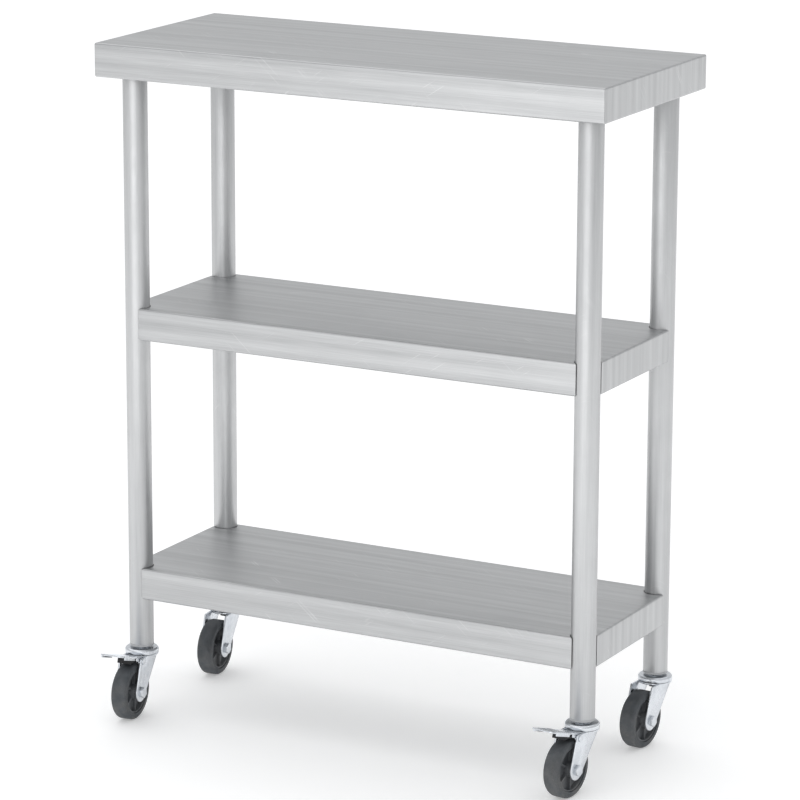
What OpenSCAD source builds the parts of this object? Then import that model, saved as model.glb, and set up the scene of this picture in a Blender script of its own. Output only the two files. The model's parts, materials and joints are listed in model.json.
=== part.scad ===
// Three-tier stainless kitchen cart on swivel castors.
//
// A worktop and two shelves, each one sheet of steel with its edges folded down and in, stand on
// four round tube legs. Cup sockets under the worktop hold the leg tops. The shelf corners are cut
// round the legs and bolted to them through a saddle block. Each leg ends in an expander plug that
// carries a swivel castor, and the two front castors have a foot brake.
//
// Frame: +X to the right along the worktop, +Y to the back, +Z up, in millimetres. The origin is
// on the floor, in the middle of the space that the whole cart takes, brake pedals included.

/* [Worktop] */
// Length of the worktop along X
worktop_w = 720; // [500:5:1200]
// Depth of the worktop along Y
worktop_d = 300; // [240:5:600]
// Height of the working surface above the floor
worktop_h = 900; // [700:5:1000]
// Height of the worktop's folded-down edge
worktop_apron = 44; // [34:1:60]
// Radius of the worktop's four upright corners
corner_r = 3; // [2:0.5:8]
// Width of the lip folded inwards under each edge
lip_w = 12; // [8:1:16]
// Thickness of the steel sheet
sheet_t = 1.2; // [0.8:0.1:2]

/* [Legs] */
// Outer diameter of the leg tube
leg_d = 32; // [26:1:46]
// Wall of the leg tube
leg_wall = 1.2; // [1:0.1:2]
// Distance from the worktop's end to the axis of a leg
leg_inset_x = 36; // [34:1:80]
// Distance from the worktop's front or back edge to the axis of a leg
leg_inset_y = 40; // [34:1:60]

/* [Leg sockets] */
// Side of the socket's square plate
socket_plate = 60; // [56:1:64]
// Thickness of the socket's plate
socket_plate_t = 2.5; // [2:0.5:4]
// Depth of the socket's cup
socket_depth = 34; // [20:1:50]
// Wall of the socket's cup
socket_wall = 2.5; // [1.5:0.5:3]
// Distance between neighbouring studs of one socket
stud_pitch = 46; // [44:1:48]
// Diameter of the studs welded under the worktop
stud_d = 5; // [4:1:5]

/* [Shelves] */
// Height of the middle shelf's top face
middle_shelf_h = 552; // [420:1:640]
// Height of the bottom shelf's top face
bottom_shelf_h = 201; // [150:1:300]
// Height of a shelf's folded-down edge
shelf_apron = 42; // [34:1:60]
// How far a shelf's faces lie outside the leg axes
shelf_reach = 14; // [4:1:16]
// Gap between a leg and the shelf corner cut round it
notch_gap = 1; // [0.5:0.1:2]

/* [Stiffeners] */
// Width of the hat channel under a sheet, flanges left out
stiffener_w = 64; // [30:1:80]
// Height of the hat channel
stiffener_h = 18; // [10:1:24]
// Width of each flange of the hat channel
stiffener_flange = 14; // [8:1:20]
// Distance from a leg axis to the end of the hat channel
stiffener_gap = 40; // [34:1:80]

/* [Shelf bolts] */
// Diameter of the bolt that holds a shelf corner to a leg
bolt_d = 6; // [5:1:6]
// Depth of the bolt's axis below the shelf's top face
bolt_drop = 20; // [18:1:22]
// Width of the saddle block behind a shelf corner
saddle_w = 26; // [22:1:30]
// Height of the saddle block
saddle_h = 24; // [18:1:26]
// Thickness of the saddle block on the bolt's axis
saddle_t = 4; // [3:0.5:6]

/* [Castors] */
// Diameter of a wheel
wheel_d = 75; // [62:1:90]
// Width of the tyre
tyre_w = 22; // [18:1:30]
// Distance from the swivel axis to the wheel's axle
trail = 36; // [34:1:43]
// Gap between the tyre and the top of the fork
fork_clear = 4.5; // [4:0.5:8]
// Diameter of the wheel's rim, under the tyre
rim_d = 58; // [46:1:60]
// Diameter of the axle bolt
axle_d = 8; // [6:1:8]
// Thickness of the pressed fork
fork_t = 2.5; // [2:0.1:3]
// Number of balls in a swivel bearing
ball_count = 14; // [8:1:15]
// Diameter of the stem bolt that holds a castor
stem_d = 10; // [8:1:12]
// Length of the expander plug inside a leg
plug_len = 42; // [30:1:60]
// Turn of the front left castor about its stem
heading_fl = 5; // [-180:1:180]
// Turn of the front right castor about its stem
heading_fr = -8; // [-180:1:180]
// Turn of the back left castor about its stem
heading_bl = 5; // [-180:1:180]
// Turn of the back right castor about its stem
heading_br = -6; // [-180:1:180]

/* [Brakes] */
// Length of the pedal from its pin to its tip
pedal_len = 66; // [50:1:80]
// Width of the pedal's tread
pedal_w = 36; // [32:1:40]
// Thickness of the pedal's sheet
pedal_t = 2; // [1.5:0.1:2.5]
// Slope of the released pedal, tip up
pedal_slope = 17; // [12:1:25]
// Turn of the pedal from released to locked
pedal_travel = 20; // [15:1:25]
// Gap left between the shoe and the tyre when locked
shoe_gap = 0.3; // [0.3:0.1:1]

/* [Hidden] */
$fn = 96;
running_gap = 0.05;
press_gap = 0.02;
slip_gap = 0.15;
play = 0.3;
cut = 1;

CORNERS = ["fl", "fr", "bl", "br"];
BRAKED = ["fl", "fr"];

leg_r = leg_d / 2;
leg_x = worktop_w / 2 - leg_inset_x;
leg_y = worktop_d / 2 - leg_inset_y;
under_sheet = worktop_h - sheet_t;
leg_top = under_sheet - socket_plate_t;
leg_bore_r = leg_r - leg_wall;

shelf_w = 2 * (leg_x + shelf_reach);
shelf_d = 2 * (leg_y + shelf_reach);
notch_r = leg_r + notch_gap;

stud_r = stud_d / 2;
stud_len = 10;
stud_nut_flats = stud_d + 3;
stud_nut_h = 4.5;
stud_washer_r = stud_r + 3;
stud_washer_h = 1.2;
socket_corner = 6;
socket_screw_drop = 24;
socket_screw_proud = 2;

bolt_r = bolt_d / 2;
bolt_flats = bolt_d + 4;
bolt_head_h = 4;
bolt_into_leg = 9;
rivet_nut_r = bolt_r + 1.5;
rivet_nut_len = 12;
saddle_hollow_r = notch_r + sheet_t + running_gap;
saddle_face = saddle_hollow_r + saddle_t;
saddle_land = 1;
saddle_root = sqrt(saddle_hollow_r ^ 2 - (saddle_w / 2) ^ 2) + saddle_land;

wheel_r = wheel_d / 2;
axle_r = axle_d / 2;
axle_flats = axle_d + 5;
axle_head_h = 5;
axle_nut_h = 6.5;
axle_end = 1.5;
sleeve_r = axle_r + 2;
hub_r = sleeve_r + 4;
hub_play = 0.5;
rim_t = 2.4;
rim_w = tyre_w - 3;
web_t = 7;
rib_t = 2;
rib_count = 6;
rib_inset = 2;
tyre_round = 5;
ear_t = 2;
ear_gap = 0.5;
fork_gap = tyre_w + 2 * (ear_t + 2 * ear_gap);
fork_half = fork_gap / 2 + fork_t;
hub_len = fork_gap - 2 * hub_play;

plug_flange_t = 3;
lock_nut_h = 2.8;
cap_t = 2;
ball_r = 2.5;
ball_ring_r = 13.5;
ball_play = 0.1;
crown_low = wheel_d + fork_clear;
crown_top = crown_low + fork_t;
race_top = crown_top + 2 * (ball_r + ball_play);
cap_top = race_top + cap_t;
castor_h = cap_top + lock_nut_h + plug_flange_t;
crown_r = 22;
shoulder_front = 15;
shoulder_back = 11;
shoulder_h = 3;
dish_r = 20;
dish_wall = 2.4;
dish_h = 3;
skirt_t = 2;
stem_r = stem_d / 2;
stem_flats = stem_d + 6;
stem_head_h = 6;
stem_nut_h = 8;
stem_end = 2;
lock_nut_flats = stem_d + 8;
cap_hub_r = stem_r + 3;
boss_r = 13;
plug_slit = 2;

pedal_tail = 3.5;
pin_r = 2.5;
pin_clear = 0.6;
pin_y = -crown_r - 2 * pedal_tail;
pin_z = wheel_r + sqrt((wheel_r + pin_r + pin_clear) ^ 2 - (trail + pin_y) ^ 2);
pin_head_r = 4;
pin_head_t = 1.5;
ear_r = 5.5;
pedal_lift = 4;
neck_w = fork_gap - 2 * ear_gap;
neck_len = 14;
neck_taper = 14;
pedal_round = 8;
pedal_flange_h = 5;
shoe_start = 8;
shoe_len = 16;
shoe_w = 20;
shoe_deep = 5.2;
pedal_reach = -pin_y + pedal_len * cos(pedal_slope);

frame_y = (leg_y + pedal_reach - worktop_d / 2) / 2;

function corner_names(part, corners) = [for (c = corners) str(part, "_", c)];
function side_x(c) = c[1] == "l" ? -1 : 1;
function side_y(c) = c[0] == "f" ? -1 : 1;
// The turn about Z that points +X from a leg to the middle of the cart
function inward_turn(c) = atan2(-side_y(c), -side_x(c));
function heading(c) =
    c == "fl" ? heading_fl : c == "fr" ? heading_fr : c == "bl" ? heading_bl : heading_br;
function hex_r(flats) = flats / 2 / cos(30);
// The point where a line from p touches a circle, on the side that turn (1 or -1) gives
function touch(centre, r, p, turn) =
    let (d = p - centre, a = atan2(d[1], d[0]) + turn * acos(r / norm(d)))
    centre + r * [cos(a), sin(a)];

// ---- placing ----

module in_frame() {
    translate([0, frame_y, 0])
        children();
}

module at_leg(c) {
    translate([side_x(c) * leg_x, side_y(c) * leg_y, 0])
        children();
}

module at_each_leg() {
    for (c = CORNERS)
        at_leg(c)
            children();
}

module inwards_at_each_leg() {
    for (c = CORNERS)
        at_leg(c)
            rotate([0, 0, inward_turn(c)])
                children();
}

// A castor's own frame: its stem on Z, its axle along X, its wheel towards -Y
module at_castor(c) {
    in_frame()
        at_leg(c)
            rotate([0, 0, heading(c)])
                children();
}

// Stands a shape drawn about Z on its side, with its axis along X
module along_x() {
    rotate([0, 90, 0])
        children();
}

module at_axle() {
    translate([0, -trail, wheel_r])
        children();
}

// The pedal's own frame: its pin on X, its tread towards -Y, level
module at_pedal(turn) {
    translate([0, pin_y, pin_z])
        rotate([turn, 0, 0])
            children();
}

// ---- shared shapes ----

module rounded_square(w, d, r) {
    square([w - 2 * r, d], center = true);
    square([w, d - 2 * r], center = true);
    for (x = [-1, 1], y = [-1, 1])
        translate([x * (w / 2 - r), y * (d / 2 - r)])
            circle(r = r);
}

module worktop_outline(inset) {
    if (inset < corner_r)
        rounded_square(worktop_w - 2 * inset, worktop_d - 2 * inset, corner_r - inset);
    else
        square([worktop_w - 2 * inset, worktop_d - 2 * inset], center = true);
}

// A rectangle with each corner cut round the leg that stands in it
module shelf_outline(inset) {
    difference() {
        square([shelf_w - 2 * inset, shelf_d - 2 * inset], center = true);
        for (c = CORNERS)
            translate([side_x(c) * leg_x, side_y(c) * leg_y]) {
                circle(r = notch_r + inset);
                translate([side_x(c) * shelf_reach, side_y(c) * shelf_reach])
                    square(2 * shelf_reach, center = true);
            }
    }
}

// A folded sheet standing on z = 0: its outline, the inside of its wall and the inside of its lip
module folded_sheet(h) {
    difference() {
        linear_extrude(h)
            children(0);
        translate([0, 0, sheet_t])
            linear_extrude(h - 2 * sheet_t)
                children(1);
        translate([0, 0, -cut])
            linear_extrude(sheet_t + 2 * cut)
                children(2);
    }
}

// A hat channel along X whose flanges reach up to z = 0
module hat_channel(len) {
    half = stiffener_w / 2;
    wide = half + stiffener_flange;
    inner = half - sheet_t;
    rotate([90, 0, 90])
        translate([0, 0, -len / 2])
            linear_extrude(len)
                polygon([
                    [-wide, 0], [-wide, -sheet_t], [-half, -sheet_t], [-half, -stiffener_h],
                    [half, -stiffener_h], [half, -sheet_t], [wide, -sheet_t], [wide, 0],
                    [inner, 0], [inner, sheet_t - stiffener_h], [-inner, sheet_t - stiffener_h],
                    [-inner, 0]
                ]);
}

module tube(r, wall, h) {
    difference() {
        cylinder(r = r, h = h);
        translate([0, 0, -cut])
            cylinder(r = r - wall, h = h + 2 * cut);
    }
}

module hex_prism(flats, h) {
    cylinder(r = hex_r(flats), h = h, $fn = 6);
}

module hex_nut(flats, h, bore) {
    difference() {
        hex_prism(flats, h);
        translate([0, 0, -cut])
            cylinder(r = bore, h = h + 2 * cut);
    }
}

module hex_bolt(flats, head_h, r, len) {
    translate([0, 0, -head_h])
        hex_prism(flats, head_h);
    cylinder(r = r, h = len);
}

// ---- worktop ----

module at_each_stud() {
    at_each_leg()
        for (x = [-1, 1], y = [-1, 1])
            translate([x * stud_pitch / 2, y * stud_pitch / 2, 0])
                children();
}

module worktop() {
    color("gainsboro")
        in_frame() {
            translate([0, 0, worktop_h - worktop_apron])
                folded_sheet(worktop_apron) {
                    worktop_outline(0);
                    worktop_outline(sheet_t);
                    worktop_outline(lip_w);
                }
            at_each_stud()
                translate([0, 0, under_sheet - stud_len])
                    cylinder(r = stud_r, h = stud_len + sheet_t / 2);
        }
}

module worktop_stiffener() {
    color("darkgray")
        in_frame()
            translate([0, 0, under_sheet])
                hat_channel(2 * (leg_x - stiffener_gap));
}

module leg_socket(c) {
    color("lightslategray")
        difference() {
            union() {
                translate([0, 0, leg_top])
                    linear_extrude(socket_plate_t)
                        rounded_square(socket_plate, socket_plate, socket_corner);
                translate([0, 0, leg_top - socket_depth])
                    cylinder(r = leg_r + slip_gap + socket_wall, h = socket_depth + socket_plate_t / 2);
            }
            translate([0, 0, leg_top - socket_depth - cut])
                cylinder(r = leg_r + slip_gap, h = socket_depth + cut);
            for (x = [-1, 1], y = [-1, 1])
                translate([x * stud_pitch / 2, y * stud_pitch / 2, leg_top - cut])
                    cylinder(r = stud_r + slip_gap, h = socket_plate_t + 2 * cut);
            rotate([0, 0, inward_turn(c)])
                translate([leg_r - cut, 0, leg_top - socket_screw_drop])
                    along_x()
                        cylinder(r = bolt_r + running_gap, h = socket_wall + 3 * cut);
        }
}

module socket_nuts() {
    color("silver")
        in_frame()
            at_each_stud()
                translate([0, 0, leg_top])
                    mirror([0, 0, 1])
                        difference() {
                            union() {
                                cylinder(r = stud_washer_r, h = stud_washer_h);
                                hex_prism(stud_nut_flats, stud_washer_h + stud_nut_h);
                            }
                            translate([0, 0, -cut])
                                cylinder(r = stud_r + running_gap, h = stud_washer_h + stud_nut_h + 2 * cut);
                        }
}

module socket_set_screws() {
    color("dimgray")
        in_frame()
            inwards_at_each_leg()
                translate([leg_r + running_gap, 0, leg_top - socket_screw_drop])
                    along_x()
                        difference() {
                            cylinder(r = bolt_r, h = socket_wall + socket_screw_proud);
                            translate([0, 0, socket_wall])
                                hex_prism(bolt_d / 2, socket_screw_proud + cut);
                        }
}

// ---- legs ----

module leg(c) {
    color("lightgray")
        difference() {
            translate([0, 0, castor_h])
                tube(leg_r, leg_wall, leg_top - castor_h);
            for (z = [middle_shelf_h, bottom_shelf_h])
                rotate([0, 0, inward_turn(c)])
                    translate([leg_bore_r - cut, 0, z - bolt_drop])
                        along_x()
                            cylinder(r = rivet_nut_r + running_gap, h = leg_wall + 2 * cut);
        }
}

module leg_rivet_nuts() {
    color("goldenrod")
        in_frame()
            for (z = [middle_shelf_h, bottom_shelf_h])
                inwards_at_each_leg()
                    translate([leg_r - running_gap - rivet_nut_len, 0, z - bolt_drop])
                        along_x()
                            tube(rivet_nut_r, rivet_nut_r - bolt_r - running_gap, rivet_nut_len);
}

// ---- shelves ----

module shelf(top_h) {
    color("whitesmoke")
        in_frame()
            difference() {
                translate([0, 0, top_h - shelf_apron])
                    folded_sheet(shelf_apron) {
                        shelf_outline(0);
                        shelf_outline(sheet_t);
                        shelf_outline(lip_w);
                    }
                inwards_at_each_leg()
                    translate([leg_r, 0, top_h - bolt_drop])
                        along_x()
                            cylinder(r = bolt_r + slip_gap, h = notch_gap + 2 * sheet_t);
            }
}

module shelf_stiffener(top_h) {
    color("darkgray")
        in_frame()
            translate([0, 0, top_h - sheet_t])
                hat_channel(2 * (leg_x - stiffener_gap));
}

// A block with one hollow side that bears on the wall of the corner cut
module shelf_saddles(top_h) {
    color("slategray")
        in_frame()
            inwards_at_each_leg()
                difference() {
                    translate([saddle_root, -saddle_w / 2, top_h - bolt_drop - saddle_h / 2])
                        cube([saddle_face - saddle_root, saddle_w, saddle_h]);
                    translate([0, 0, top_h - bolt_drop - saddle_h])
                        cylinder(r = saddle_hollow_r, h = 2 * saddle_h);
                    translate([leg_r, 0, top_h - bolt_drop])
                        along_x()
                            cylinder(r = bolt_r + slip_gap, h = saddle_face);
                }
}

module shelf_bolts(top_h) {
    color("silver")
        in_frame()
            inwards_at_each_leg()
                translate([saddle_face, 0, top_h - bolt_drop])
                    rotate([0, -90, 0])
                        hex_bolt(bolt_flats, bolt_head_h, bolt_r, saddle_face - leg_r + bolt_into_leg);
}

// ---- castors: the parts that stay with the leg ----

module expander() {
    color("dimgray")
        difference() {
            union() {
                translate([0, 0, castor_h - plug_flange_t])
                    cylinder(r = leg_r, h = plug_flange_t);
                translate([0, 0, castor_h - cut])
                    cylinder(r = leg_bore_r - running_gap, h = plug_len + cut);
            }
            translate([0, 0, castor_h - plug_flange_t - cut])
                cylinder(r = stem_r + running_gap, h = plug_len + plug_flange_t + 2 * cut);
            for (a = [0, 90])
                rotate([0, 0, a])
                    translate([-leg_r, -plug_slit / 2, castor_h + plug_len / 4])
                        cube([leg_d, plug_slit, plug_len]);
        }
}

module stem_bolts() {
    head_top = crown_low - play;
    stem_top = castor_h + plug_len + stem_nut_h + stem_end;
    color("silver")
        in_frame()
            at_each_leg() {
                translate([0, 0, head_top])
                    hex_bolt(stem_flats, stem_head_h, stem_r, stem_top - head_top);
                translate([0, 0, cap_top])
                    hex_nut(lock_nut_flats, lock_nut_h, stem_r + running_gap);
                translate([0, 0, castor_h + plug_len])
                    hex_nut(stem_flats, stem_nut_h, stem_r + running_gap);
            }
}

// The upper race: a cup turned over, whose skirt closes round the fork's dish
module swivel_cap() {
    skirt_r = dish_r + play + skirt_t;
    color("gainsboro")
        rotate_extrude()
            polygon([
                [stem_r + running_gap, crown_top + play], [cap_hub_r, crown_top + play],
                [cap_hub_r, race_top], [skirt_r - skirt_t, race_top],
                [skirt_r - skirt_t, crown_top + play], [skirt_r, crown_top + play],
                [skirt_r, cap_top - cap_t], [skirt_r - cap_t, cap_top],
                [stem_r + running_gap, cap_top]
            ]);
}

module swivel_balls() {
    color("slategray")
        in_frame()
            at_each_leg()
                for (i = [0:ball_count - 1])
                    rotate([0, 0, i * 360 / ball_count])
                        translate([ball_ring_r, 0, race_top - ball_r - ball_play])
                            sphere(r = ball_r, $fn = 24);
}

// ---- castors: the fork and what it carries ----

// Side view of one fork arm, drawn with the castor's Y to the right and Z up
module arm_outline() {
    axle = [-trail, wheel_r];
    // A little inside the boss, so that the straight edges cross its curve
    web_r = boss_r - press_gap;
    back_low = [shoulder_back, crown_low - shoulder_h];
    front_top = [pin_y - ear_r, crown_top];
    polygon([
        [shoulder_back, crown_top], back_low, touch(axle, web_r, back_low, -1), axle,
        touch(axle, web_r, front_top, 1), front_top
    ]);
    translate(axle)
        circle(r = boss_r);
}

module fork(braked) {
    color("silver")
        difference() {
            union() {
                translate([0, 0, crown_low])
                    cylinder(r = crown_r, h = fork_t);
                translate([-fork_half, -shoulder_front, crown_low])
                    cube([2 * fork_half, shoulder_front + shoulder_back, fork_t]);
                translate([0, 0, crown_top - fork_t / 2])
                    tube(dish_r, dish_wall, dish_h + fork_t / 2);
                for (x = [-fork_half, fork_gap / 2])
                    translate([x, 0, 0])
                        rotate([90, 0, 90])
                            linear_extrude(fork_t)
                                arm_outline();
            }
            translate([0, 0, crown_low - cut])
                cylinder(r = stem_r + running_gap, h = fork_t + dish_h + 2 * cut);
            at_axle()
                translate([-fork_half - cut, 0, 0])
                    along_x()
                        cylinder(r = axle_r + running_gap, h = 2 * fork_half + 2 * cut);
            if (braked)
                translate([-fork_half - cut, pin_y, pin_z])
                    along_x()
                        cylinder(r = pin_r + press_gap, h = 2 * fork_half + 2 * cut);
        }
}

// The axle bolt with its nut on the other arm
module axle_bolt() {
    color("gainsboro")
        at_axle() {
            translate([fork_half, 0, 0])
                rotate([0, -90, 0])
                    hex_bolt(axle_flats, axle_head_h, axle_r, 2 * fork_half + axle_nut_h + axle_end);
            translate([-fork_half, 0, 0])
                rotate([0, -90, 0])
                    hex_nut(axle_flats, axle_nut_h, axle_r + running_gap);
        }
}

module axle_sleeve() {
    color("gray")
        at_axle()
            translate([-fork_gap / 2, 0, 0])
                along_x()
                    tube(sleeve_r, sleeve_r - axle_r - running_gap, fork_gap);
}

module wheel_core() {
    rib_len = rim_d / 2 - rim_t / 2 - hub_r + cut;
    color("dimgray")
        at_axle()
            along_x()
                difference() {
                    union() {
                        translate([0, 0, -hub_len / 2])
                            cylinder(r = hub_r, h = hub_len);
                        translate([0, 0, -web_t / 2])
                            cylinder(r = rim_d / 2 - rim_t / 2, h = web_t);
                        translate([0, 0, -rim_w / 2])
                            tube(rim_d / 2, rim_t, rim_w);
                        for (i = [0:rib_count - 1])
                            rotate([0, 0, i * 360 / rib_count])
                                translate([hub_r - cut, -rib_t / 2, rib_inset - rim_w / 2])
                                    cube([rib_len, rib_t, rim_w - 2 * rib_inset]);
                    }
                    translate([0, 0, -hub_len / 2 - cut])
                        cylinder(r = sleeve_r + running_gap, h = hub_len + 2 * cut);
                }
}

module tyre() {
    flat = tyre_w / 2 - tyre_round;
    color("darkslategray")
        at_axle()
            along_x()
                rotate_extrude()
                    difference() {
                        union() {
                            translate([rim_d / 2, -tyre_w / 2])
                                square([wheel_r - tyre_round - rim_d / 2, tyre_w]);
                            translate([rim_d / 2, -flat])
                                square([wheel_r - rim_d / 2, 2 * flat]);
                            for (s = [-1, 1])
                                translate([wheel_r - tyre_round, s * flat])
                                    circle(r = tyre_round);
                        }
                        translate([rim_d / 2 - wheel_r, -tyre_w])
                            square([wheel_r, 2 * tyre_w]);
                    }
}

// ---- brakes ----

// Plan of the pedal: a neck between the fork arms that widens to a tread with a rounded tip
module pedal_outline() {
    tread = pedal_w / 2;
    neck = neck_w / 2;
    wide_from = -neck_len - neck_taper;
    polygon([
        [-neck, pedal_tail], [neck, pedal_tail], [neck, -neck_len], [tread, wide_from],
        [tread, pedal_round - pedal_len], [-tread, pedal_round - pedal_len],
        [-tread, wide_from], [-neck, -neck_len]
    ]);
    translate([-tread + pedal_round, -pedal_len])
        square([pedal_w - 2 * pedal_round, 2 * pedal_round]);
    for (s = [-1, 1])
        translate([s * (tread - pedal_round), pedal_round - pedal_len])
            circle(r = pedal_round);
}

module brake_pedal() {
    flange_len = pedal_len - pedal_round - neck_len - neck_taper;
    color("silver")
        at_pedal(-pedal_slope)
            difference() {
                union() {
                    translate([0, 0, pedal_lift])
                        linear_extrude(pedal_t)
                            pedal_outline();
                    for (s = [-1, 1])
                        translate([s * (pedal_w / 2 - pedal_t / 2) - pedal_t / 2, 0, 0])
                            translate([0, pedal_round - pedal_len, pedal_lift + pedal_t - pedal_flange_h])
                                cube([pedal_t, flange_len, pedal_flange_h]);
                    for (x = [-neck_w / 2, neck_w / 2 - ear_t])
                        translate([x, 0, 0])
                            along_x()
                                cylinder(r = ear_r, h = ear_t);
                    for (x = [-neck_w / 2, neck_w / 2 - ear_t])
                        translate([x, -neck_len, 0])
                            cube([ear_t, neck_len + pedal_tail, pedal_lift + pedal_t / 2]);
                }
                translate([-neck_w / 2 - cut, 0, 0])
                    along_x()
                        cylinder(r = pin_r + running_gap, h = neck_w + 2 * cut);
            }
}

module brake_pin() {
    color("gainsboro")
        translate([0, pin_y, pin_z])
            along_x() {
                translate([0, 0, -fork_half])
                    cylinder(r = pin_r, h = 2 * fork_half);
                for (z = [-fork_half - pin_head_t, fork_half])
                    translate([0, 0, z])
                        cylinder(r = pin_head_r, h = pin_head_t);
            }
}

// The shoe under the pedal, hollowed to the tyre's curve as it lies when the brake is locked
module brake_shoe() {
    color("dimgray")
        at_pedal(-pedal_slope)
            difference() {
                translate([-shoe_w / 2, -shoe_start - shoe_len, -shoe_deep])
                    cube([shoe_w, shoe_len, pedal_lift + shoe_deep]);
                rotate([pedal_slope - pedal_travel, 0, 0])
                    translate([0, -pin_y - trail, wheel_r - pin_z])
                        along_x()
                            cylinder(r = wheel_r + shoe_gap, h = 2 * tyre_w, center = true);
            }
}

// ---- the cart ----

worktop();
worktop_stiffener();
socket_nuts();
socket_set_screws();
shelf(middle_shelf_h);  // middle_shelf
shelf_stiffener(middle_shelf_h);  // middle_shelf_stiffener
shelf_saddles(middle_shelf_h);  // middle_shelf_saddles
shelf_bolts(middle_shelf_h);  // middle_shelf_bolts
shelf(bottom_shelf_h);  // bottom_shelf
shelf_stiffener(bottom_shelf_h);  // bottom_shelf_stiffener
shelf_saddles(bottom_shelf_h);  // bottom_shelf_saddles
shelf_bolts(bottom_shelf_h);  // bottom_shelf_bolts
leg_rivet_nuts();
stem_bolts();
swivel_balls();
for (c = CORNERS) {
    in_frame() at_leg(c) leg_socket(c);
    in_frame() at_leg(c) leg(c);
    in_frame() at_leg(c) expander();
    in_frame() at_leg(c) swivel_cap();
    at_castor(c) fork(side_y(c) < 0);
    at_castor(c) axle_bolt();
    at_castor(c) axle_sleeve();
    at_castor(c) wheel_core();
    at_castor(c) tyre();
}
for (c = BRAKED) {
    at_castor(c) brake_pedal();
    at_castor(c) brake_pin();
    at_castor(c) brake_shoe();
}
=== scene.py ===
# %% [markdown]
# # A three-tier kitchen cart in stainless steel
# The cart is a narrow catering trolley. One folded sheet makes the worktop, two more make the
# shelves, four satin tubes make the legs, and each leg stands on a swivel castor with a dark wheel.
# Every size and place is already settled by the solid model, which is loaded first and never
# changed. What is made here is the look: folds with a real radius, rounded pressings, turned
# tyres, and a finish for each metal, plastic and rubber that shows its grain and wear.
# %% Load the solid model
import json
from math import atan2, cos, degrees, radians, sin

import bmesh
import bpy
from mathutils import Matrix, Vector


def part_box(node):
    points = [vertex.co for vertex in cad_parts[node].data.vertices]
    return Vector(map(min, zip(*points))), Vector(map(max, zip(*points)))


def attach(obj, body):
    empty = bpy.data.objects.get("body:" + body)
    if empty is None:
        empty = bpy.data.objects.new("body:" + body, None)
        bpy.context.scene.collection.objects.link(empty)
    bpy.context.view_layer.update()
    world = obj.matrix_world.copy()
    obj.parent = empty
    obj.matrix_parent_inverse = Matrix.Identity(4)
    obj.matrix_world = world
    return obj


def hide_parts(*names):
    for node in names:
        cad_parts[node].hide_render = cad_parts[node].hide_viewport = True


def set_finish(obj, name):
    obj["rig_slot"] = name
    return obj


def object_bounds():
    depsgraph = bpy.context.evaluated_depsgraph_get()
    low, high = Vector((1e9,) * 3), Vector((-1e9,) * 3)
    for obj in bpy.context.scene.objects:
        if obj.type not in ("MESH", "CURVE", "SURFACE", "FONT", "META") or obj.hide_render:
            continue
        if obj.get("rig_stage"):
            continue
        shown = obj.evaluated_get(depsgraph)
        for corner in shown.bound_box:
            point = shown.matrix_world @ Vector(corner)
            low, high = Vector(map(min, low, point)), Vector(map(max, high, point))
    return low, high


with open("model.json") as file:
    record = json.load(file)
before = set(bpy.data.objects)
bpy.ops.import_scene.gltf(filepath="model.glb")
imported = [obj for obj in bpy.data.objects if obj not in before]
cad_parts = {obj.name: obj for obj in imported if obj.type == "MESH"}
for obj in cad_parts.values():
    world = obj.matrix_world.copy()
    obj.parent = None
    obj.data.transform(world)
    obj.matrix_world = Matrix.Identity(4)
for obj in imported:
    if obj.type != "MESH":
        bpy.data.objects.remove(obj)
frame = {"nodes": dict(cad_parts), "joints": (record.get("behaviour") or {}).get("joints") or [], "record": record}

cad_box = [list(corner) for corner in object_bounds()]
MM = 0.001
CORNERS = ("fl", "fr", "bl", "br")
BRAKED = ("fl", "fr")
print("solid model:", len(frame["nodes"]), "nodes,", [round(v, 4) for v in cad_box[1]])

# %% [markdown]
# ## Working with one piece at a time
# Blender's operators act on whatever is selected, and loading the model leaves every node
# selected. So each step below first clears the selection and then picks only what it works on.
# Faces and edges are picked by where they are or which way they look, never by their number,
# because numbers change as soon as a mesh is cut.
# %% Selection helpers
def work_on(piece):
    """Selects one object and nothing else, and makes it the active one."""
    if bpy.context.mode != "OBJECT":
        bpy.ops.object.mode_set(mode="OBJECT")
    for other in list(bpy.context.selected_objects):
        other.select_set(False)
    piece.select_set(True)
    bpy.context.view_layer.objects.active = piece


def edit(piece, kind, wanted):
    """Opens the piece in edit mode. Every FACE or EDGE is selected for which wanted() is true."""
    work_on(piece)
    bpy.ops.object.mode_set(mode="EDIT")
    bpy.ops.mesh.select_mode(type=kind)
    bpy.ops.mesh.select_all(action="DESELECT")
    mesh = bmesh.from_edit_mesh(piece.data)
    for element in mesh.faces if kind == "FACE" else mesh.edges:
        element.select_set(bool(wanted(element)))
    bmesh.update_edit_mesh(piece.data)


def leave_edit():
    bpy.ops.object.mode_set(mode="OBJECT")


def settle(piece):
    """Puts the object's place, turn and size into its mesh, so that it sits at the origin."""
    work_on(piece)
    bpy.ops.object.transform_apply(location=True, rotation=True, scale=True)


print("selected at the start:", len(bpy.context.selected_objects), "objects")

# %% [markdown]
# ## Modifiers and shading
# A modifier is applied as soon as it is set, so each step works on real faces. Smooth shading
# keeps a crease wherever two faces meet at a real angle. On a folded sheet the wide flat faces
# should decide the shading, or the narrow folds would make them look bowed, and Weighted Normal
# does that.
# %% Modifier and shading helpers
CREASE = 32


def apply_modifier(piece, kind, **values):
    """Adds a modifier, sets its values and applies it at once."""
    work_on(piece)
    modifier = piece.modifiers.new(kind.title(), kind)
    for name, value in values.items():
        setattr(modifier, name, value)
    bpy.ops.object.modifier_apply(modifier=modifier.name)


def smooth(piece):
    """Smooth shading that keeps a crease where two faces meet at more than CREASE degrees."""
    work_on(piece)
    bpy.ops.object.shade_smooth_by_angle(angle=radians(CREASE), keep_sharp_edges=False)


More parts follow.
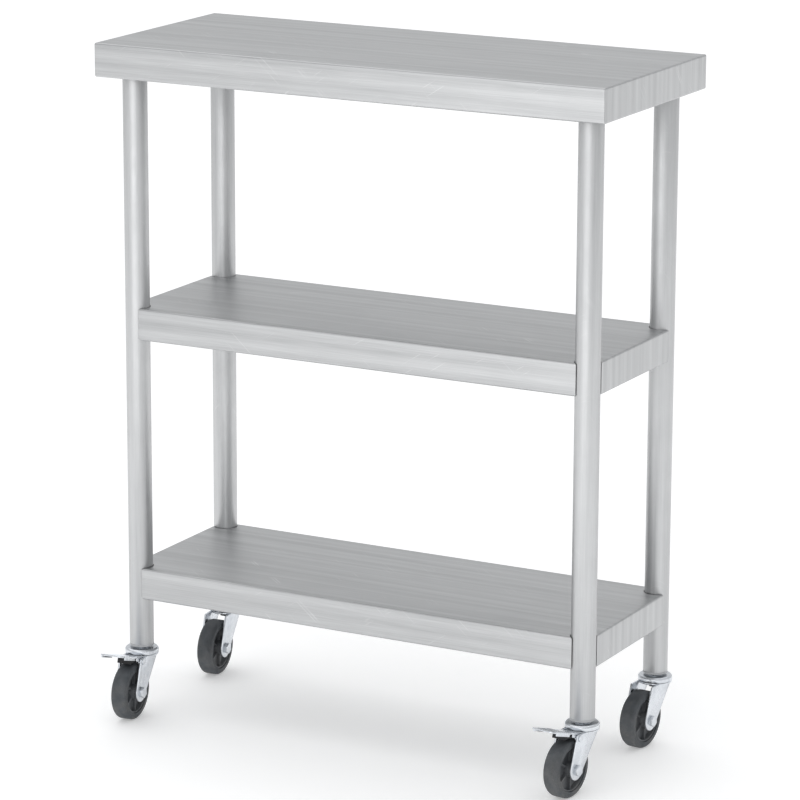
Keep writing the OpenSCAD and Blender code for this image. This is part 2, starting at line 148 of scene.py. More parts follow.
def even_normals(piece):
    """Lets the large flat faces decide the shading."""
    apply_modifier(piece, "WEIGHTED_NORMAL", mode="FACE_AREA", weight=50, keep_sharp=True)


print("a crease is kept from", CREASE, "degrees")

# %% [markdown]
# ## Where things are
# The legs and wheels are found from the boxes of their solids. A castor's heading, the turn
# about its stem, is the direction of its wheel's axle, which the joints give. A piece that
# comes four times is made once at the origin and then copied to each corner with these.
# %% Places of the legs and castors
def middle(node):
    low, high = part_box(node)
    return (low + high) / 2


joint_axis = {joint["name"]: Vector(joint["axis"]) for joint in frame["joints"]}
leg_at = {c: middle(f"leg_{c}") for c in CORNERS}
axle_of = {c: joint_axis[f"wheel_spin_{c}"] for c in CORNERS}
heading = {c: atan2(axle_of[c].y, axle_of[c].x) for c in CORNERS}
inward = {"fl": radians(45), "fr": radians(135), "bl": radians(-45), "br": radians(-135)}
print("headings in degrees:", {c: round(degrees(turn), 1) for c, turn in heading.items()})

# %% [markdown]
# ## Folded sheets
# The worktop and both shelves are trays turned upside down: one sheet of 1.2 mm stainless whose
# edges are folded down, then folded in again to make a safe lip. A single rounded box would
# look right from above but be a solid lump from below. Each tray is cut out of a block
# instead, as the bent sheet would leave it: the block's edges get the outer bend radius, a
# smaller block with the inner radius is taken out of it, and a straight-sided mouth opens the
# bottom as far as the lip.
#
# A shelf corner is cut round the leg that stands in it. Posts take the corners off all three
# blocks, each a little thicker than the last, so the cut gets a folded wall and a lip of its own.
# %% Blocks, posts and cuts
SHEET = 1.2 * MM
LIP = 12 * MM
BEND = 2.4 * MM
BEND_STEPS = 5
REACH = 14 * MM
ROUND_SIDES = 96


def block(low, high, rounding=0.0):
    """A box between two corners, its edges rounded if asked."""
    bpy.ops.mesh.primitive_cube_add(size=1, location=(low + high) / 2, scale=high - low)
    piece = bpy.context.active_object
    settle(piece)
    if rounding:
        edit(piece, "EDGE", lambda edge: True)
        bpy.ops.mesh.bevel(offset=rounding, segments=BEND_STEPS)
        leave_edit()
    return piece


def discard(piece):
    bpy.data.objects.remove(piece)


def cut(piece, cutter):
    """Takes the cutter out of the piece."""
    apply_modifier(piece, "BOOLEAN", operation="DIFFERENCE", solver="EXACT", object=cutter)
    discard(cutter)


def cut_corners(piece, radius, low, high):
    """Cuts the piece round each leg, and takes off the corner that is left outside the leg."""
    half = Vector((REACH, REACH, (high.z - low.z) / 2 + 2 * BEND))
    for c, place in leg_at.items():
        axis = Vector((place.x, place.y, (low.z + high.z) / 2))
        bpy.ops.mesh.primitive_cylinder_add(
            vertices=ROUND_SIDES, radius=radius, depth=2 * half.z, location=axis)
        cut(piece, bpy.context.active_object)
        outside = axis + Vector((REACH if place.x > 0 else -REACH, REACH if place.y > 0 else -REACH, 0))
        cut(piece, block(outside - half, outside + half))


print("sheet of", round(SHEET / MM, 2), "mm with a bend radius of", round(BEND / MM, 2), "mm")

# %% [markdown]
# The cut corners leave sharp rims. A small angle-limited bevel rounds those and the free edge of
# the lip but passes over the folds, whose steps are too slight to count as edges.
# %% Model the worktop and the shelves
NOTCH_GAP = 1 * MM
RIM_BEVEL = 0.25 * MM
RIM_ANGLE = radians(40)


def folded_sheet(name, node, notched):
    """A tray with folded sides and a lip, upside down, its corners cut round the legs if asked."""
    low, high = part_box(node)
    skin = Vector((SHEET, SHEET, SHEET))
    tray = block(low, high, BEND)
    hollow = block(low + skin, high - skin, BEND - SHEET)
    mouth = block(Vector((low.x + LIP, low.y + LIP, low.z - SHEET)),
                  Vector((high.x - LIP, high.y - LIP, low.z + 2 * SHEET)))
    if notched:
        leg_radius = leg_at["fl"].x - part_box("leg_fl")[0].x
        for part, inset in ((tray, 0), (hollow, SHEET), (mouth, LIP)):
            cut_corners(part, leg_radius + NOTCH_GAP + inset, low, high)
    cut(tray, hollow)
    cut(tray, mouth)
    tray.name = name
    apply_modifier(tray, "BEVEL", width=RIM_BEVEL, segments=2, limit_method="ANGLE",
                   angle_limit=RIM_ANGLE, use_clamp_overlap=False)
    smooth(tray)
    even_normals(tray)
    return tray


def count(piece):
    return f"{piece.name}: {len(piece.data.polygons)} faces"


worktop = folded_sheet("worktop_sheet", "worktop", False)
shelves = {
    level: folded_sheet(f"{level}_shelf_sheet", f"{level}_shelf", True)
    for level in ("middle", "bottom")
}
for tray in (worktop, *shelves.values()):
    print(count(tray))

# %% [markdown]
# ## Copies
# Four legs, four wheels and sixteen studs are the same part again and again, as they are on the
# real cart. Each is modelled once. A copy gets its own mesh, turned and moved in the mesh
# itself, so that its object can stay at the origin.
# %% Copy a piece to another place
def copy_to(source, name, place, turn=0.0):
    """A copy with its own mesh, turned about Z and then moved."""
    piece = bpy.data.objects.new(name, source.data.copy())
    bpy.context.scene.collection.objects.link(piece)
    piece.data.transform(Matrix.Translation(place) @ Matrix.Rotation(turn, 4, "Z"))
    return piece


def join(piece, others):
    """Joins the others into the piece."""
    work_on(piece)
    for other in others:
        other.select_set(True)
    bpy.ops.object.join()


print("a copy goes to each of", len(CORNERS), "corners")

# %% [markdown]
# ## Studs under the worktop
# The worktop has no screw heads on top. Threaded studs are welded to its underside and go down
# through the plates of the leg sockets. One stud is a short cylinder, rooted a little way into the
# sheet, whose free end is chamfered as a rolled thread's end is. Its fellows are copies joined
# into the sheet, since a welded stud moves with it.
# %% Weld the studs on
STUD_RADIUS = 2.5 * MM
STUD_LENGTH = 10 * MM
STUD_PITCH = 46 * MM
CHAMFER_IN = 0.6 * MM
CHAMFER_DOWN = 0.25 * MM

under_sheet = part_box("worktop")[1].z - SHEET
bpy.ops.mesh.primitive_cylinder_add(
    vertices=24, radius=STUD_RADIUS, depth=STUD_LENGTH,
    location=(0, 0, under_sheet - STUD_LENGTH / 2 + SHEET / 4))
stud = bpy.context.active_object
settle(stud)
edit(stud, "FACE", lambda face: face.normal.z < -0.9)
bpy.ops.mesh.inset(thickness=CHAMFER_IN)
bpy.ops.transform.translate(value=(0, 0, -CHAMFER_DOWN))
leave_edit()
smooth(stud)
studs = [
    copy_to(stud, f"stud_{c}", (leg_at[c].x + dx * STUD_PITCH / 2, leg_at[c].y + dy * STUD_PITCH / 2, 0))
    for c in CORNERS for dx in (-1, 1) for dy in (-1, 1)
]
discard(stud)
join(worktop, studs)
print(count(worktop), "with", len(studs), "studs")

# %% [markdown]
# ## Leg tubes
# A leg is a plain tube, so it starts as a cylinder without ends. Solidify gives it its wall,
# and a bevel takes the sharpness off both cut ends. Two holes on the inward side take the rivet
# nuts that the shelves bolt to. The tube is made once about the Z axis with its holes towards +X
# and each copy is turned so that the holes face the middle of the cart.
# %% Model a leg and set up four
WALL = 1.2 * MM
CUT_EDGE = 0.3 * MM
RIVET_NUT_RADIUS = 4.55 * MM


def is_sharp(edge):
    """True for an edge whose two faces meet at more than 30 degrees."""
    return edge.is_manifold and edge.calc_face_angle() > radians(30)


low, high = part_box("leg_fl")
leg_radius = (high.x - low.x) / 2
bpy.ops.mesh.primitive_cylinder_add(
    vertices=ROUND_SIDES, radius=leg_radius, depth=high.z - low.z, end_fill_type="NOTHING",
    location=(0, 0, (low.z + high.z) / 2))
tube = bpy.context.active_object
settle(tube)
apply_modifier(tube, "SOLIDIFY", thickness=WALL, offset=-1, use_even_offset=True)
edit(tube, "EDGE", is_sharp)
bpy.ops.mesh.bevel(offset=CUT_EDGE, segments=2, clamp_overlap=False)
leave_edit()
for level in ("middle", "bottom"):
    bolts_low, bolts_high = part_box(f"{level}_shelf_bolts")
    bpy.ops.mesh.primitive_cylinder_add(
        vertices=32, radius=RIVET_NUT_RADIUS, depth=leg_radius, rotation=(0, radians(90), 0),
        location=(leg_radius, 0, (bolts_low.z + bolts_high.z) / 2))
    cut(tube, bpy.context.active_object)
smooth(tube)
legs = {
    c: copy_to(tube, f"leg_tube_{c}", (leg_at[c].x, leg_at[c].y, 0), inward[c])
    for c in CORNERS
}
discard(tube)
print(count(legs["fl"]), "and three more like it")

# %% [markdown]
# ## Tyres
# A castor tyre is a ring of grey-black rubber with rounded shoulders and a flat tread, moulded
# on to the core. It starts as a cylinder without ends, Solidify gives it the depth of the rubber,
# and bevels round the shoulders. Each side then gets a shallow moulded step, made by insetting
# the side faces and pushing them in. The axle lies along X in the first one, as in a castor that
# heads straight on.
# %% Model a tyre and set up four
RUBBER = 8.5 * MM
TYRE_WIDTH = 22 * MM
SHOULDER = 5 * MM
STEP_WIDTH = 1.2 * MM
STEP_DEPTH = 0.5 * MM

low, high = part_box("tyre_fl")
wheel_radius = (high.z - low.z) / 2
bpy.ops.mesh.primitive_cylinder_add(
    vertices=ROUND_SIDES, radius=wheel_radius, depth=TYRE_WIDTH, end_fill_type="NOTHING",
    rotation=(0, radians(90), 0))
ring = bpy.context.active_object
settle(ring)
apply_modifier(ring, "SOLIDIFY", thickness=RUBBER, offset=-1, use_even_offset=True)


def on_outer_rim(edge):
    return is_sharp(edge) and all(Vector(v.co.yz).length > wheel_radius - MM for v in edge.verts)


edit(ring, "EDGE", on_outer_rim)
bpy.ops.mesh.bevel(offset=SHOULDER, segments=7, clamp_overlap=False)
leave_edit()
edit(ring, "FACE", lambda face: abs(face.normal.x) > 0.95)
bpy.ops.mesh.inset(thickness=STEP_WIDTH, depth=-STEP_DEPTH, use_even_offset=True)
leave_edit()
smooth(ring)
ring.name = "tyre_ring"
print(count(ring), "in one ring")
tyres = {c: copy_to(ring, f"tyre_{c}_ring", middle(f"tyre_{c}"), heading[c]) for c in CORNERS}
discard(ring)

# %% [markdown]
# ## Pressed, cast and turned parts
# Forks, pedals, caps, sockets, nuts and bolts already have their exact shape in the solid model,
# but with knife-sharp edges. Real ones are pressed, cast or turned, and catch a thin line of light
# along every edge. Remodelling them would risk their fit, so each is a copy of its solid. A
# node's mesh is loose triangles: they are merged, flat neighbours are dissolved into whole
# faces, and a small bevel rounds only the true edges. The width says how the part is made: a few
# tenths of a millimetre on machined parts, more on pressings and castings.
# %% Round the edges of a copy
SAME_POINT = 0.005 * MM
SAME_PLANE = radians(0.5)
TRUE_EDGE = radians(35)


def rounded_copy(node, width):
    """A copy of a solid, its triangles merged into whole faces and its true edges rounded."""
    piece = bpy.data.objects.new(f"{node}_made", frame["nodes"][node].data.copy())
    bpy.context.scene.collection.objects.link(piece)
    piece.data.materials.clear()
    work_on(piece)
    bpy.ops.mesh.customdata_custom_splitnormals_clear()
    bpy.ops.object.mode_set(mode="EDIT")
    bpy.ops.mesh.select_all(action="SELECT")
    bpy.ops.mesh.remove_doubles(threshold=SAME_POINT)
    bpy.ops.mesh.dissolve_limited(angle_limit=SAME_PLANE)
    leave_edit()
    if width:
        apply_modifier(piece, "BEVEL", width=width, segments=2, limit_method="ANGLE",
                       angle_limit=TRUE_EDGE, use_clamp_overlap=False)
    smooth(piece)
    return piece


print("edges over", round(degrees(TRUE_EDGE)), "degrees are rounded")

# %% [markdown]
# The table below is the shop's list: which solids are softened, by how much, and with which
# finish they leave. A row covers a part on all its corners, or a part that comes once. Each piece
# rides on the body whose solid it stands for, so it turns with its castor or wheel, and the
# plain solid is hidden.
# %% Soften every fitted part
FITTED = [
    # part, corners, bevel in mm, finish
    ("leg_socket", CORNERS, 0.8, "cast_alloy"),
    ("expander", CORNERS, 0.4, "plug_plastic"),
    ("swivel_cap", CORNERS, 0.6, "zinc_plate"),
    ("fork", CORNERS, 0.7, "zinc_plate"),
    ("axle_bolt", CORNERS, 0.5, "zinc_plate"),
    ("axle_sleeve", CORNERS, 0.2, "bearing_steel"),
    ("wheel_core", CORNERS, 0.5, "core_plastic"),
    ("brake_pedal", BRAKED, 0.6, "zinc_plate"),
    ("brake_pin", BRAKED, 0.3, "zinc_plate"),
    ("brake_shoe", BRAKED, 0.6, "shoe_rubber"),
    ("worktop_stiffener", (), 0.5, "mill_sheet"),
    ("middle_shelf_stiffener", (), 0.5, "mill_sheet"),
    ("bottom_shelf_stiffener", (), 0.5, "mill_sheet"),
    ("middle_shelf_saddles", (), 0.6, "cast_alloy"),
    ("bottom_shelf_saddles", (), 0.6, "cast_alloy"),
    ("middle_shelf_bolts", (), 0.4, "zinc_plate"),
    ("bottom_shelf_bolts", (), 0.4, "zinc_plate"),
    ("socket_nuts", (), 0.3, "zinc_plate"),
    ("socket_set_screws", (), 0.2, "black_steel"),
    ("leg_rivet_nuts", (), 0.2, "yellow_zinc"),
    ("stem_bolts", (), 0.5, "zinc_plate"),
    ("swivel_balls", (), 0, "bearing_steel"),
]
bodies = frame["record"]["behaviour"]["bodies"]
body_of = {node: body for body, members in bodies.items() for node in members}


def hand_over(piece, body, slot, node):
    """Hangs the piece on its body, names its finish and hides the solid that it stands for."""
    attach(piece, body)
    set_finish(piece, slot)
    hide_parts(node)


pieces = {}
for part, corners, width, finish_name in FITTED:
    for node in [f"{part}_{c}" for c in corners] or [part]:
        pieces[node] = rounded_copy(node, width * MM)
        hand_over(pieces[node], body_of[node], finish_name, node)
print(len(pieces), "fitted parts,", sum(len(p.data.polygons) for p in pieces.values()), "faces")

# %% [markdown]
# ## Ribs on the pedals
# A brake pedal has a few ribs pressed across its tread, so that a wet shoe doesn't slip off it.
# They could be separate bars, but a pressed rib is the same sheet pushed up. So the flat top of
# the pedal is cut into strips with bisect, and a narrow strip is inset and raised for each rib,
# which gives it sloping sides. Bisect only cuts what is selected, which is the top face.
# %% Press ribs into the pedals
RIB_PITCH = 7 * MM
RIB_WIDTH = 2.4 * MM
RIB_HEIGHT = 0.7 * MM
RIB_EDGE = 5 * MM
FIRST_RIB = 9 * MM
RIBS = 4
ON_PLANE = 0.1 * MM


def press_ribs(pedal, axle):
    """Raises ribs across the tread, from its far end inwards."""
    upward = [face for face in pedal.data.polygons if face.normal.z > 0.7]
    top = max(upward, key=lambda face: face.area)
    up, inwards = top.normal.copy(), top.normal.cross(axle).normalized()
    outline = [pedal.data.vertices[i].co.copy() for i in top.vertices]
    height = up.dot(outline[0])
    end = min(inwards.dot(co) for co in outline)
    ribs = [end + FIRST_RIB + i * RIB_PITCH for i in range(RIBS)]
    left = min(axle.dot(co) for co in outline) + RIB_EDGE
    right = max(axle.dot(co) for co in outline) - RIB_EDGE

    def on_top(face):
        above = up.dot(face.calc_center_median()) - height
        return face.normal.dot(up) > 0.999 and abs(above) < ON_PLANE

    planes = [(axle, left), (axle, right)]
    planes += [(inwards, at + s * RIB_WIDTH / 2) for at in ribs for s in (-1, 1)]
    for normal, distance in planes:
        edit(pedal, "FACE", on_top)
        bpy.ops.mesh.bisect(plane_co=normal * distance, plane_no=normal)
        leave_edit()

    def in_rib(face):
        centre = face.calc_center_median()
        return (on_top(face) and left < axle.dot(centre) < right
                and any(abs(inwards.dot(centre) - at) < RIB_WIDTH / 2 for at in ribs))

    edit(pedal, "FACE", in_rib)
    bpy.ops.mesh.inset(thickness=RIB_HEIGHT, depth=RIB_HEIGHT)
    leave_edit()
    smooth(pedal)


for c in BRAKED:
    press_ribs(pieces[f"brake_pedal_{c}"], axle_of[c])
    print(count(pieces[f"brake_pedal_{c}"]))

# %% [markdown]
# ## Hanging the new pieces on the cart
# The sheets, the legs and the tyres are handed over in the same way as the fitted parts.
# %% Hand the new pieces over
hand_over(worktop, "cart", "brushed_sheet", "worktop")
for level, tray in shelves.items():
    hand_over(tray, "cart", "brushed_sheet", f"{level}_shelf")
for c in CORNERS:
    hand_over(legs[c], "cart", "leg_tube", f"leg_{c}")
    hand_over(tyres[c], f"wheel_{c}", "tyre", f"tyre_{c}")
print("nodes still shown:", [n for n, o in frame["nodes"].items() if not o.hide_render])

# %% [markdown]
# ## Grain coordinates
# A brushed sheet is ground along its length before it is folded, so on the end aprons the
# lines run down instead of across. A pattern on Object coordinates can't turn a corner like
# that. Each sheet therefore gets a UV map in metres: U runs along the grain and V across it, and
# which axis is which depends on the way a face looks.
# %% Lay the grain on the sheets
FACES_AN_END = 0.75


def lay_grain(piece):
    mesh = piece.data
    grain = mesh.uv_layers.new(name="grain")
    for face in mesh.polygons:
        looks = face.normal
        for corner in face.loop_indices:
            x, y, z = mesh.vertices[mesh.loops[corner].vertex_index].co
            if abs(looks.x) > FACES_AN_END:
                grain.data[corner].uv = (z, y)
            elif abs(looks.z) > abs(looks.y):
                grain.data[corner].uv = (x, y)
            else:
                grain.data[corner].uv = (x, z)


for tray in (worktop, *shelves.values()):
    lay_grain(tray)
    print(tray.name, "has", len(tray.data.uv_layers["grain"].data), "grain coordinates")

# %% [markdown]
# ## Building materials from nodes
# A material is a small graph: coordinates go in on the left, patterns in the middle, and the
# shader is on the right. These helpers keep the graph readable. Each takes numbers and sockets
# alike: a socket is linked and a number is set as the input's own value.
# %% Node helpers
def give(tree, target, value):
    """Links a socket to the target, or sets the target's own value."""
    if isinstance(value, bpy.types.NodeSocket):
        tree.links.new(value, target)
    else:
        target.default_value = value


def feed(tree, node, **inputs):
    """Gives a node its inputs by name, with _ for a space."""
    for name, value in inputs.items():
        give(tree, node.inputs[name.replace("_", " ")], value)
    return node


def add(tree, kind, **inputs):
    return feed(tree, tree.nodes.new(kind), **inputs)


def maths(tree, operation, a, b=0.0, clamp=False):
    node = tree.nodes.new("ShaderNodeMath")
    node.operation = operation
    node.use_clamp = clamp
    give(tree, node.inputs[0], a)
    give(tree, node.inputs[1], b)
    return node.outputs[0]


def times(tree, a, b, clamp=False):
    return maths(tree, "MULTIPLY", a, b, clamp)


def plus(tree, a, b, clamp=False):
    return maths(tree, "ADD", a, b, clamp)


print("number helpers ready")

# %% [markdown]
# Vectors, noise and colours get helpers of their own. Noise gives values round a half, so it is
# nearly always followed by a Map Range, here called spread, which stretches the part that
# matters to the range that the shader needs.
# %% Pattern helpers
def vector_maths(tree, operation, a, b):
    node = tree.nodes.new("ShaderNodeVectorMath")
    node.operation = operation
    give(tree, node.inputs[0], a)
    give(tree, node.inputs[1], b)
    return node.outputs


def noise(tree, where, scale, detail, **more):
    return add(tree, "ShaderNodeTexNoise", Vector=where, Scale=scale, Detail=detail, **more).outputs[0]


def spread(tree, value, low, high, to_low=0.0, to_high=1.0):
    """Map Range, clamped: low..high becomes to_low..to_high."""
    node = add(tree, "ShaderNodeMapRange", Value=value, From_Min=low, From_Max=high,
               To_Min=to_low, To_Max=to_high)
    return node.outputs["Result"]


def blend_colours(tree, share, first, second):
    """The first colour where the share is 0 and the second where it is 1."""
    node = tree.nodes.new("ShaderNodeMix")
    node.data_type = "RGBA"
    colour_a, colour_b = [socket for socket in node.inputs if socket.type == "RGBA"]
    for target, value in ((node.inputs["Factor"], share), (colour_a, first), (colour_b, second)):
        give(tree, target, value)
    return node.outputs[2]


print("pattern helpers ready")

# %% [markdown]
# ## Effects that several finishes share
# Ground lines, wear and dust each appear on several finishes. An effect is built once as a node
# group with named inputs and outputs, and is then placed in each material with values of its own,
# so that a change to it reaches every finish.
# %% Helpers for node groups
FLOAT, VECTOR = "NodeSocketFloat", "NodeSocketVector"


def group(name, inputs, outputs):
    """Starts a node group and gives back its tree, its input sockets and its output node."""
    tree = bpy.data.node_groups.new(name, "ShaderNodeTree")
    for label, kind, value in inputs:
        socket = tree.interface.new_socket(label, in_out="INPUT", socket_type=kind)
        if value is not None:
            socket.default_value = value
    for label in outputs:
        tree.interface.new_socket(label, in_out="OUTPUT", socket_type=FLOAT)
    return tree, tree.nodes.new("NodeGroupInput").outputs, tree.nodes.new("NodeGroupOutput")


def place(tree, shared, **inputs):
    """Puts a shared group in a material, with its own values, and gives back its outputs."""
    node = tree.nodes.new("ShaderNodeGroup")
    node.node_tree = shared
    return feed(tree, node, **inputs).outputs


print("group helpers ready")

# %% [markdown]
# ## Shared effect: ground lines
# Brushed steel is thousands of fine scratches that all run one way. Noise squeezed hard across
# the grain and stretched along it looks just like that. Two sizes are made: the fine lines of
# the belt, and broader bands where the belt pressed harder. The first coordinate runs along the
# grain.
# %% Group: ground lines
BAND_SHARE = 0.09

tree, given, out = group(
    "ground_lines",
    [("Vector", VECTOR, None), ("Lines", FLOAT, 900.0), ("Stretch", FLOAT, 60.0)],
    ["Fine", "Bands"])
along = maths(tree, "DIVIDE", 1.0, given["Stretch"])
squeeze = add(tree, "ShaderNodeCombineXYZ", X=along, Y=1.0, Z=1.0).outputs[0]
stretched = vector_maths(tree, "MULTIPLY", given["Vector"], squeeze)[0]
fine = noise(tree, stretched, given["Lines"], 3.0, Roughness=0.6)
bands = noise(tree, stretched, times(tree, given["Lines"], BAND_SHARE), 2.0)
feed(tree, out, Fine=spread(tree, fine, 0.3, 0.7), Bands=spread(tree, bands, 0.3, 0.7))
ground_lines = tree
print(tree.name, len(tree.nodes), "nodes")

# %% [markdown]
# ## Shared effect: use
# A cart in a kitchen is wiped, leaned on and knocked. Wiping leaves cloudy smudges a hand wide,
# and pans and trays leave hairline scratches that cross each other. Smudges are soft noise. For
# the scratches, the distance along one slanted direction goes into a noise of one dimension.
# Where that crosses its middle value it makes a thin plane, which meets any face in a nearly
# straight line. The smudges bend the lines a little, patches of a second noise end them, and two
# directions make them cross.
# %% Group: smudges and scratches
SCRATCH_HALF_WIDTH = 0.007
SCRATCH_BEND = 3 * MM
SCRATCH_SETS = (
    # direction across the scratches, how fine the patches are that end them
    ((0.52, 0.60, 0.61), 0.45),
    ((-0.35, 0.75, 0.56), 0.65),
)

tree, given, out = group(
    "smudges_and_scratches",
    [("Vector", VECTOR, None), ("Smudge Scale", FLOAT, 14.0), ("Scratch Scale", FLOAT, 60.0)],
    ["Smudges", "Scratches"])
cloud = noise(tree, given["Vector"], given["Smudge Scale"], 4.0, Roughness=0.55, Distortion=0.4)
scratches = []
for direction, patch_size in SCRATCH_SETS:
    across = vector_maths(tree, "DOT_PRODUCT", given["Vector"], direction)["Value"]
    bent = plus(tree, across, times(tree, cloud, SCRATCH_BEND))
    line = tree.nodes.new("ShaderNodeTexNoise")
    line.noise_dimensions = "1D"
    feed(tree, line, W=bent, Scale=given["Scratch Scale"], Detail=0.0)
    off_middle = maths(tree, "ABSOLUTE", maths(tree, "SUBTRACT", line.outputs[0], 0.5))
    thin = spread(tree, off_middle, 0.0, SCRATCH_HALF_WIDTH, 1.0, 0.0)
    patch = noise(tree, given["Vector"], times(tree, given["Scratch Scale"], patch_size), 1.0)
    scratches.append(times(tree, thin, spread(tree, patch, 0.56, 0.70)))
feed(tree, out, Smudges=spread(tree, cloud, 0.35, 0.68), Scratches=maths(tree, "MAXIMUM", *scratches))
wear = tree
print(tree.name, len(tree.nodes), "nodes")

# %% [markdown]
# ## Shared effect: floor dust
# Wheels pick up pale dust. It lies thickest near the floor and comes in specks and clouds, so
# the mask is a fade with height multiplied by noise.
# %% Group: floor dust
CLOUD_SCALE = 55.0

tree, given, out = group(
    "floor_dust",
    [("Vector", VECTOR, None), ("Top", FLOAT, 0.08), ("Speck Scale", FLOAT, 500.0)],
    ["Dust"])
height = add(tree, "ShaderNodeSeparateXYZ", Vector=given["Vector"]).outputs["Z"]
fade = spread(tree, height, given["Top"], 0.0)
clouds = spread(tree, noise(tree, given["Vector"], CLOUD_SCALE, 4.0), 0.35, 0.7)
specks = spread(tree, noise(tree, given["Vector"], given["Speck Scale"], 2.0), 0.35, 0.65, 0.4, 1.0)
feed(tree, out, Dust=times(tree, fade, times(tree, clouds, specks), clamp=True))
floor_dust = tree
print(tree.name, len(tree.nodes), "nodes")

# %% [markdown]
# ## Starting a material
# Each finish below is one Principled shader. What is the same all over, such as how metallic
# it is, is set on the shader's own socket, and only what changes over the surface is linked. The
# patterns read Object coordinates, which are metres here, so a scale of 1000 makes details
# about a millimetre wide.
# %% Start a material
finishes = {}


def finish(name, **fixed):
    """Starts a material. Gives back its tree, its shader and its Object coordinates."""
    finishes[name] = bpy.data.materials.new(name)
    finishes[name].use_nodes = True
    tree = finishes[name].node_tree
    shader = feed(tree, tree.nodes["Principled BSDF"], **fixed)
    return tree, shader, tree.nodes.new("ShaderNodeTexCoord").outputs["Object"]


def raise_bumps(tree, shader, height, depth, strength):
    """Bump, with its depth in metres as on the real surface."""
    bump = add(tree, "ShaderNodeBump", Height=height, Distance=depth, Strength=strength)
    feed(tree, shader, Normal=bump.outputs["Normal"])


print("ready for finishes")

# %% [markdown]
# ## Brushed sheet
# The sheets are stainless with a belt-ground face. The steel is a mid grey that mirrors a
# blurred room. The ground lines make it slightly lighter and darker in streaks along the
# grain, change how rough it is from line to line, and stand up by about a hundredth of a
# millimetre. Smudges dull it in clouds, and a few scratches catch the light.
# %% Finish: brushed sheet
FRESH_STEEL = (0.8, 0.8, 0.8, 1)
SHEET_DARK, SHEET_LIGHT = (0.41, 0.415, 0.42, 1), (0.61, 0.615, 0.62, 1)

tree, shader, here = finish("brushed_sheet", Metallic=1.0)
grain = tree.nodes.new("ShaderNodeUVMap")
grain.uv_map = "grain"
lines = place(tree, ground_lines, Vector=grain.outputs[0], Lines=900.0, Stretch=70.0)
use = place(tree, wear, Vector=here, Smudge_Scale=9.0, Scratch_Scale=48.0)
tone = plus(tree, times(tree, lines["Bands"], 0.5), times(tree, lines["Fine"], 0.5))
steel = blend_colours(tree, tone, SHEET_DARK, SHEET_LIGHT)
marked = blend_colours(tree, times(tree, use["Scratches"], 0.45), steel, FRESH_STEEL)
rough = spread(tree, lines["Fine"], 0.0, 1.0, 0.30, 0.40)
feed(tree, shader, Base_Color=marked, Roughness=plus(tree, rough, times(tree, use["Smudges"], 0.07)))
relief = maths(tree, "SUBTRACT", lines["Fine"], times(tree, use["Scratches"], 2.0))
raise_bumps(tree, shader, relief, 0.012 * MM, 0.6)
print("brushed_sheet", len(tree.nodes), "nodes")

# %% [markdown]
# ## Satin tube
# The legs are the same steel, but a tube is polished along its length as it is drawn through the
# belts, so the lines run up and down. Object coordinates are enough here: they are reordered so
# that the first one, which runs along the grain, is the height.
# %% Finish: satin tube
TUBE_DARK, TUBE_LIGHT = (0.49, 0.495, 0.50, 1), (0.65, 0.655, 0.66, 1)

tree, shader, here = finish("leg_tube", Metallic=1.0)
axes = add(tree, "ShaderNodeSeparateXYZ", Vector=here).outputs
upright = add(tree, "ShaderNodeCombineXYZ", X=axes["Z"], Y=axes["X"], Z=axes["Y"]).outputs[0]
lines = place(tree, ground_lines, Vector=upright, Lines=1100.0, Stretch=50.0)
use = place(tree, wear, Vector=here, Smudge_Scale=22.0, Scratch_Scale=70.0)
tone = plus(tree, times(tree, lines["Bands"], 0.6), times(tree, lines["Fine"], 0.4))
steel = blend_colours(tree, tone, TUBE_DARK, TUBE_LIGHT)
marked = blend_colours(tree, times(tree, use["Scratches"], 0.3), steel, FRESH_STEEL)
rough = spread(tree, lines["Fine"], 0.0, 1.0, 0.36, 0.46)
feed(tree, shader, Base_Color=marked, Roughness=plus(tree, rough, times(tree, use["Smudges"], 0.08)))
raise_bumps(tree, shader, lines["Fine"], 0.003 * MM, 0.6)
print("leg_tube", len(tree.nodes), "nodes")

# %% [markdown]
# ## Mill sheet
# The hat channels under the sheets are never seen in use, so they are left as the rolling mill
# made them: a dull, even grey with a faint rolled grain.
# %% Finish: mill sheet
MILL_DARK, MILL_LIGHT = (0.42, 0.425, 0.43, 1), (0.54, 0.545, 0.55, 1)

tree, shader, here = finish("mill_sheet", Metallic=1.0)
lines = place(tree, ground_lines, Vector=here, Lines=500.0, Stretch=12.0)
use = place(tree, wear, Vector=here, Smudge_Scale=30.0, Scratch_Scale=60.0)
clouded = times(tree, use["Smudges"], lines["Bands"])
feed(tree, shader, Base_Color=blend_colours(tree, clouded, MILL_DARK, MILL_LIGHT),
     Roughness=spread(tree, use["Smudges"], 0.0, 1.0, 0.42, 0.56))
raise_bumps(tree, shader, lines["Fine"], 0.006 * MM, 0.6)
print("mill_sheet", len(tree.nodes), "nodes")

# %% [markdown]
# ## Cast alloy
# The leg sockets and the saddle blocks are cast. A casting keeps the fine pebbled skin of its
# mould, so it is rough all over with small bumps of about a tenth of a millimetre. Its colour is
# painted a little darker in the hollows between them, as painted shade.
# %% Finish: cast alloy
CAST_DARK, CAST_LIGHT = (0.34, 0.345, 0.35, 1), (0.52, 0.525, 0.53, 1)

tree, shader, here = finish("cast_alloy", Metallic=1.0)
pebbles = noise(tree, here, 700.0, 4.0, Roughness=0.65)
use = place(tree, wear, Vector=here, Smudge_Scale=40.0, Scratch_Scale=90.0)
# Painted shade: the colour follows the bump pattern and is darker in its hollows.
feed(tree, shader, Base_Color=blend_colours(tree, spread(tree, pebbles, 0.35, 0.65), CAST_DARK, CAST_LIGHT),
     Roughness=spread(tree, use["Smudges"], 0.0, 1.0, 0.5, 0.66))
raise_bumps(tree, shader, pebbles, 0.08 * MM, 0.7)
print("cast_alloy", len(tree.nodes), "nodes")

